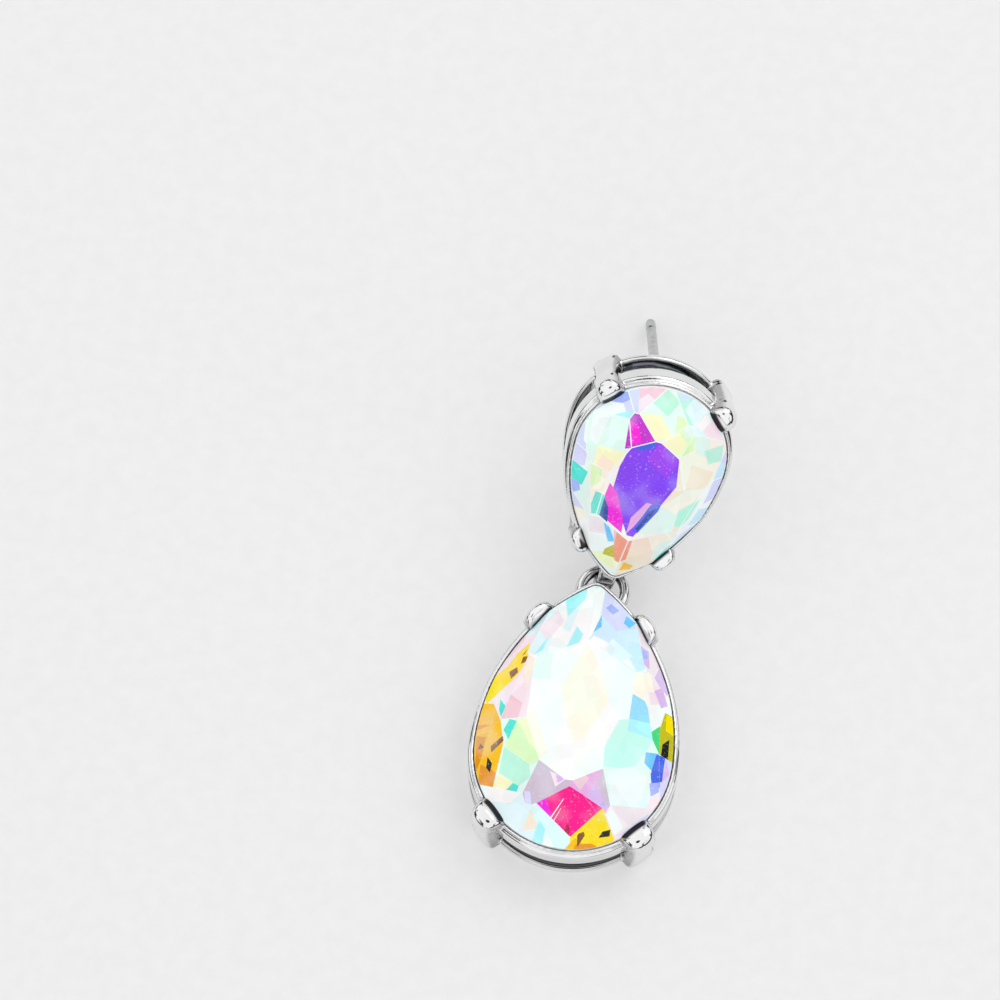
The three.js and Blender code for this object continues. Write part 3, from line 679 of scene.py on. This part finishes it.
def rounded(low, high, bottom, top, radius, steps=4):
    """The corners of a rounded rectangle in the (offset, height) plane."""
    corners = []
    for turn, x, y in ((0, high, top), (90, low, top), (180, low, bottom), (270, high, bottom)):
        centre_x = x - radius if x == high else x + radius
        centre_y = y - radius if y == top else y + radius
        for step in range(steps + 1):
            angle = math.radians(turn + 90 * step / steps)
            corners.append((centre_x + radius * math.cos(angle), centre_y + radius * math.sin(angle)))
    return corners


def sweep(mesh, outline, profile):
    """Carry a closed profile of (offset, height) pairs round the pear."""
    rings = [closed_wire(mesh, [point + Vector((0, 0, height)) for point in pear_points(outline, offset)])
             for offset, height in profile]
    for low, high in zip(rings, rings[1:] + rings[:1]):
        bmesh.ops.bridge_loops(mesh, edges=low + high)


def turn_round(mesh, edges, centre, axis, steps):
    """Spin a wire once round an axis."""
    verts = list({vert for edge in edges for vert in edge.verts})
    bmesh.ops.spin(mesh, geom=verts + edges, cent=centre, axis=axis, angle=math.tau, steps=steps,
                   use_merge=True)


def add_claw(mesh, outline, depth, azimuth, width, proud):
    """A strap that climbs from the rail past the bezel and swells into a bead over the stone's edge."""
    place = Matrix.Translation(rim_point(outline, azimuth)) @ Matrix.Rotation(azimuth, 4, "Z")
    # From the foot up: height, half the width along the edge as a share of the claw's width, how
    # far out it stands as a share of how proud it is, and where its inner side lies.
    levels = (
        (0.0, 0.50, 0.62, -0.2), (0.12, 0.56, 0.78, -0.3), (0.4, 0.56, 0.82, -0.3), (0.75, 0.47, 0.80, -0.2),
        (1.6, 0.43, 0.84, -0.2), (2.6, 0.43, 0.88, -0.2), (depth - 1.3, 0.45, 0.92, -0.2),
        (depth - 0.9, 0.50, 0.97, -0.2), (depth - 0.5, 0.53, 1.0, -0.28), (depth - 0.1, 0.55, 1.01, -0.28),
        (depth + 0.1, 0.55, 1.0, -0.28), (depth + 0.25, 0.52, 0.96, -0.06), (depth + 0.4, 0.46, 0.89, 0.12),
        (depth + 0.53, 0.37, 0.79, 0.27), (depth + 0.61, 0.27, 0.69, 0.38), (depth + 0.65, 0.14, 0.6, 0.46))
    sides = 32
    rings = []
    for height, half, out, inner in levels:
        outer = proud * out
        middle = inner + (outer - inner) * 0.3
        square = 0.42 if height < depth - 0.6 else 0.85
        corners = []
        for step in range(sides):
            angle = math.tau * step / sides
            x, y = math.cos(angle), math.sin(angle)
            x = math.copysign(abs(x) ** (square if x > 0 else 0.5), x)
            y = math.copysign(abs(y) ** square, y)
            x = middle + x * (outer - middle if x > 0 else middle - inner)
            corners.append(place @ Vector((x, y * half * width, height)))
        rings.append(closed_wire(mesh, corners))
    for low, high in zip(rings, rings[1:]):
        bmesh.ops.bridge_loops(mesh, edges=low + high)
    for ring in (rings[0], rings[-1]):
        bmesh.ops.edgeloop_fill(mesh, edges=ring)


def basket_of(outline, basket, claws):
    """The rail, the bezel with its stepped lip, and a pair of claws for each entry in claws."""
    depth, rail, gallery = basket
    mesh = bmesh.new()
    sweep(mesh, outline, rounded(-WALL, WALL, 0, rail, RAIL_ROUNDING))
    foot, top = rail + gallery, depth - 0.06
    base = [(-0.5, foot + 0.12), (-0.38, foot), (0.3, foot), (0.42, foot + 0.04), (WALL, foot + 0.16)]
    lip = [(WALL, top - 0.72), (0.43, top - 0.62), (0.36, top - 0.57), (0.14, top - 0.52),
           (0.10, top - 0.46), (0.12, top - 0.38), (0.24, top - 0.32), (0.27, top - 0.25),
           (0.27, top - 0.1), (0.22, top), (0.08, top), (0.02, top - 0.1), (0.0, top - 0.5),
           (-0.5, top - 0.75)]
    sweep(mesh, outline, base + lip)
    for azimuth, width, proud in claws:
        for side in (azimuth, 180 - azimuth):
            add_claw(mesh, outline, depth, math.radians(side), width, proud)
    return mesh


def basket_place(stone, outline, stone_top, up, point):
    """Where a basket's own frame lies round its stone."""
    side = up.cross(point)
    origin = round_end_centre([vert.co for vert in stone.vertices], outline, up, point, stone_top * MM)
    turn = Matrix((
        (side.x, -point.x, up.x), (side.y, -point.y, up.y), (side.z, -point.z, up.z))).to_4x4()
    return Matrix.Translation(origin) @ turn @ Matrix.Scale(MM, 4)


def fused(mesh, stone, place, stone_top):
    """Fuse the shells in a mesh into one skin with soft corners and cut the stone's seat into it."""
    bmesh.ops.remove_doubles(mesh, verts=mesh.verts, dist=0.0005)
    bmesh.ops.recalc_face_normals(mesh, faces=mesh.faces)
    data = bpy.data.meshes.new("shells")
    mesh.to_mesh(data)
    mesh.free()
    shells = bpy.data.objects.new("shells", data)
    bpy.context.scene.collection.objects.link(shells)
    fuse = shells.modifiers.new("fuse", "REMESH")
    fuse.mode = "VOXEL"
    fuse.voxel_size = VOXEL
    soften = shells.modifiers.new("soften", "SMOOTH")
    soften.factor = 0.5
    soften.iterations = 4

    seat = stone.copy()
    seat.transform(place.inverted())
    middle = Vector((0, 0, stone_top * 0.8))
    grow = Matrix.Scale(SEAT_CLEARANCE, 4)
    seat.transform(Matrix.Translation(middle) @ grow @ Matrix.Translation(-middle))
    cutter = bpy.data.objects.new("seat", seat)
    bpy.context.scene.collection.objects.link(cutter)
    cut = shells.modifiers.new("seat", "BOOLEAN")
    cut.operation = "DIFFERENCE"
    cut.solver = "EXACT"
    cut.object = cutter
    bpy.context.view_layer.update()
    done = bpy.data.meshes.new_from_object(shells.evaluated_get(bpy.context.evaluated_depsgraph_get()))
    bpy.data.objects.remove(shells)
    bpy.data.objects.remove(cutter)
    return done


def share(value):
    return max(0, min(1, value))


def darken(data, stone, neighbour, place, outline, basket):
    """Store painted shade and painted dark reflections at each corner of the mesh, because the white
    table and sky alone leave its recesses too pale."""
    depth, rail, gallery = basket
    to_basket = place.inverted()
    corners = [vert.co.copy() for vert in data.vertices]
    faces = [face.vertices[:] for face in data.polygons]
    for name in ("drop_stone", "stud_stone", neighbour):
        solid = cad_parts[name].data
        start = len(corners)
        corners += [to_basket @ vert.co for vert in solid.vertices]
        faces += [[start + index for index in face.vertices] for face in solid.polygons]
    around = BVHTree.FromPolygons(corners, faces)
    near = BVHTree.FromPolygons([to_basket @ vert.co for vert in stone.vertices],
                                [face.vertices[:] for face in stone.polygons])
    rays = []
    for step in range(RAYS):
        rise = (step + 0.5) * 2 / RAYS - 1
        run = math.sqrt(1 - rise ** 2)
        rays.append(Vector((run * math.cos(RAY_TURN * step), run * math.sin(RAY_TURN * step), rise)))

    painted_shade_and_reflection = data.attributes.new("painted_shade_and_reflection", "FLOAT", "POINT")
    for vert in data.vertices:
        # Painted shade where it is shut in: the share of the rays that meet metal or glass soon.
        start = vert.co + vert.normal * RAY_START
        total = blocked = 0
        for ray in rays:
            facing = ray.dot(vert.normal)
            if facing > 0.1:
                total += facing
                distance = around.ray_cast(start, ray, RAY_END)[3]
                if distance is not None:
                    blocked += facing * (1 - (distance / RAY_END) ** 2)
        shut = share((blocked / total - 0.24) / 0.42)
        # Painted shade and dark reflections on the sides of the claws' beads that face the stone from close
        # by, and on the claws' flanks. Past the stone's point, where the ring and loop are, less of both
        # this and the rays counts.
        touched, _, _, distance = near.find_nearest(vert.co)
        height, rise = vert.co.z, vert.normal.z
        facing = vert.normal.xy.dot((touched - vert.co).xy.normalized())
        close = share(((0.6 if vert.co.y > 0 else 0.3) - distance) / 0.15)
        close *= share((facing - 0.35) / 0.2) * share((height - depth + 0.02) / 0.08)
        flank = 0.5 * share((0.8 - abs(facing)) / 0.35) * share((0.7 - abs(rise)) / 0.3)
        if vert.co.y < point_y(outline):
            shut, flank = 0.7 * shut, 0.5 * flank
        # Painted shade on the top of the rail and the underside of the bezel, which face each other.
        ledge = 0.45 * share((rise - 0.7) / 0.2) * (rail - 0.12 < height < rail + 0.06)
        underside = 0.6 * share((-rise - 0.4) / 0.3) * (rail + gallery / 2 < height < depth - 1)
        painted_shade_and_reflection.data[vert.index].value = max(shut, close, flank, ledge, underside)


def set_stone(mesh, node, stone_node, neighbour, outline, basket, stone_top, facing, finishes):
    """Make the shells in a mesh the basket round a stone, in place of its solid."""
    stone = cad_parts[stone_node].data
    place = basket_place(stone, outline, stone_top, *facing)
    data = fused(mesh, stone, place, stone_top)
    darken(data, stone, neighbour, place, outline, basket)
    data.name = node.replace("setting", "basket")
    data.materials.clear()
    for finish in finishes:
        data.materials.append(finish)
    for face in data.polygons:
        face.use_smooth = True
        face.material_index = int(face.center.z < POST_START)
    data.transform(place)
    data.set_sharp_from_angle(angle=math.radians(50))
    made = bpy.data.objects.new(data.name, data)
    bpy.context.scene.collection.objects.link(made)
    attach(made, "root")
    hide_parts(node)


# The drop's setting: a basket that lies on its rail. The stud hangs from the ring of round wire at
# its point, which stands on two short pegs that are soldered to the rail.
DROP_BASKET = (4.8, 0.65, 1.9)
DROP_CLAWS = ((-40, 2.0, 1.0), (45, 2.0, 1.5))
DROP_STONE_TOP = 6.8
RING_WIRE = 0.73
RING_WIDTH = 3.7
RING_RADIUS = (RING_WIDTH - RING_WIRE) / 2
RING_PLACE = Vector((-0.35, point_y(DROP_OUTLINE) - 0.6, 1.55))
PEG_TURN = math.radians(50)

mesh = basket_of(DROP_OUTLINE, DROP_BASKET, DROP_CLAWS)
wire_place = Matrix.Translation(RING_PLACE + Vector((RING_RADIUS, 0, 0)))
wire = bmesh.ops.create_circle(mesh, segments=20, radius=RING_WIRE / 2,
                               matrix=wire_place @ Matrix.Rotation(math.pi / 2, 4, "X"))
wire_edges = list({edge for vert in wire["verts"] for edge in vert.link_edges})
turn_round(mesh, wire_edges, RING_PLACE, (0, 0, 1), 64)
for side in (-1, 1):
    peg = RING_PLACE + Vector((side * math.cos(PEG_TURN), math.sin(PEG_TURN), 0)) * RING_RADIUS
    peg.z = RING_PLACE.z / 2
    bmesh.ops.create_cone(mesh, cap_ends=True, segments=24, radius1=0.45, radius2=0.42,
                          depth=RING_PLACE.z, matrix=Matrix.Translation(peg))
set_stone(mesh, "drop_setting", "drop_stone", "stud_setting", DROP_OUTLINE, DROP_BASKET,
          DROP_STONE_TOP, drop_facing, (plate,))

# The stud's setting: a smaller basket, with a flat band loop round the ring's wire at its point. A
# bar across the open back carries a round pad, and the steel ear post is soldered into it. The
# post has a grooved end, which the clutch snaps onto.
STUD_BASKET = (4.3, 0.6, 1.65)
STUD_CLAWS = ((-39, 1.6, 1.0), (45, 1.7, 1.3))
STUD_STONE_TOP = 5.9
LOOP_HOLE = RING_WIRE / 2 + 0.5
LOOP_RADIUS = LOOP_HOLE + 0.45
LOOP_BAND = 1.2
LOOP_PLACE = Vector((0, point_y(STUD_OUTLINE) - LOOP_RADIUS, 0.9))
POST_FROM_EDGE = 3
POST_Y = STUD_OUTLINE[0] / 2 + WALL - POST_FROM_EDGE
POST_PLACE = Matrix.Translation((0, POST_Y, 0))
BAR_WIDTH = 1.5
BAR_THICK = 0.9
BAR_ROUNDING = 0.2
PAD_THICK = 1.2
# The post's outline from its rounded end to its root: radius and height.
POST_OUTLINE = (
    (0.0, -12.2), (0.16, -12.2), (0.23, -12.16), (0.31, -12.06), (0.35, -11.95), (0.35, -10.85),
    (0.28, -10.78), (0.28, -10.42), (0.35, -10.35), (0.35, -8.85), (0.31, -8.8), (0.31, -8.6),
    (0.35, -8.55), (0.35, -0.6), (0.5, -0.3), (0.35, 0.3), (0.0, 0.3))
STEEL_DARK = (0.46, 0.46, 0.47, 1)
STEEL_LIGHT = (0.60, 0.60, 0.61, 1)

steel, shade = finish_of("post steel")
drawn = shade.noise(2500.0, 3.0)
tone = drawn.between(0.3, 0.7).mix(STEEL_DARK, STEEL_LIGHT)
shade.surface({"Base Color": tone, "Metallic": 1.0, "Roughness": drawn * 0.15 + 0.15})

mesh = basket_of(STUD_OUTLINE, STUD_BASKET, STUD_CLAWS)
band = [LOOP_PLACE + Vector((height, 0, -radius))
        for radius, height in rounded(LOOP_HOLE, LOOP_RADIUS, -LOOP_BAND / 2, LOOP_BAND / 2, 0.14)]
turn_round(mesh, closed_wire(mesh, band), LOOP_PLACE, (1, 0, 0), 64)
half_span = math.sqrt((STUD_OUTLINE[0] / 2) ** 2 - POST_Y ** 2)
bar_place = POST_PLACE @ Matrix.Translation((0, 0, BAR_THICK / 2))
bar = bmesh.ops.create_cube(mesh, size=2, matrix=bar_place @ Matrix.Diagonal(
    (half_span, BAR_WIDTH / 2, BAR_THICK / 2, 1)))
bar_edges = list({edge for vert in bar["verts"] for edge in vert.link_edges})
bmesh.ops.bevel(mesh, geom=bar_edges, offset=BAR_ROUNDING, affect="EDGES", segments=4, profile=0.5,
                material=-1, clamp_overlap=True)
bmesh.ops.create_cone(mesh, cap_ends=True, segments=48, radius1=1.6, radius2=1.7, depth=PAD_THICK,
                      matrix=POST_PLACE @ Matrix.Translation((0, 0, BAR_THICK - PAD_THICK / 2)))
verts = [mesh.verts.new((radius, POST_Y, height)) for radius, height in POST_OUTLINE]
edges = [mesh.edges.new(pair) for pair in zip(verts, verts[1:])]
turn_round(mesh, edges, (0, POST_Y, 0), (0, 0, 1), 24)
set_stone(mesh, "stud_setting", "stud_stone", "drop_setting", STUD_OUTLINE, STUD_BASKET,
          STUD_STONE_TOP, stud_facing, (plate, steel))
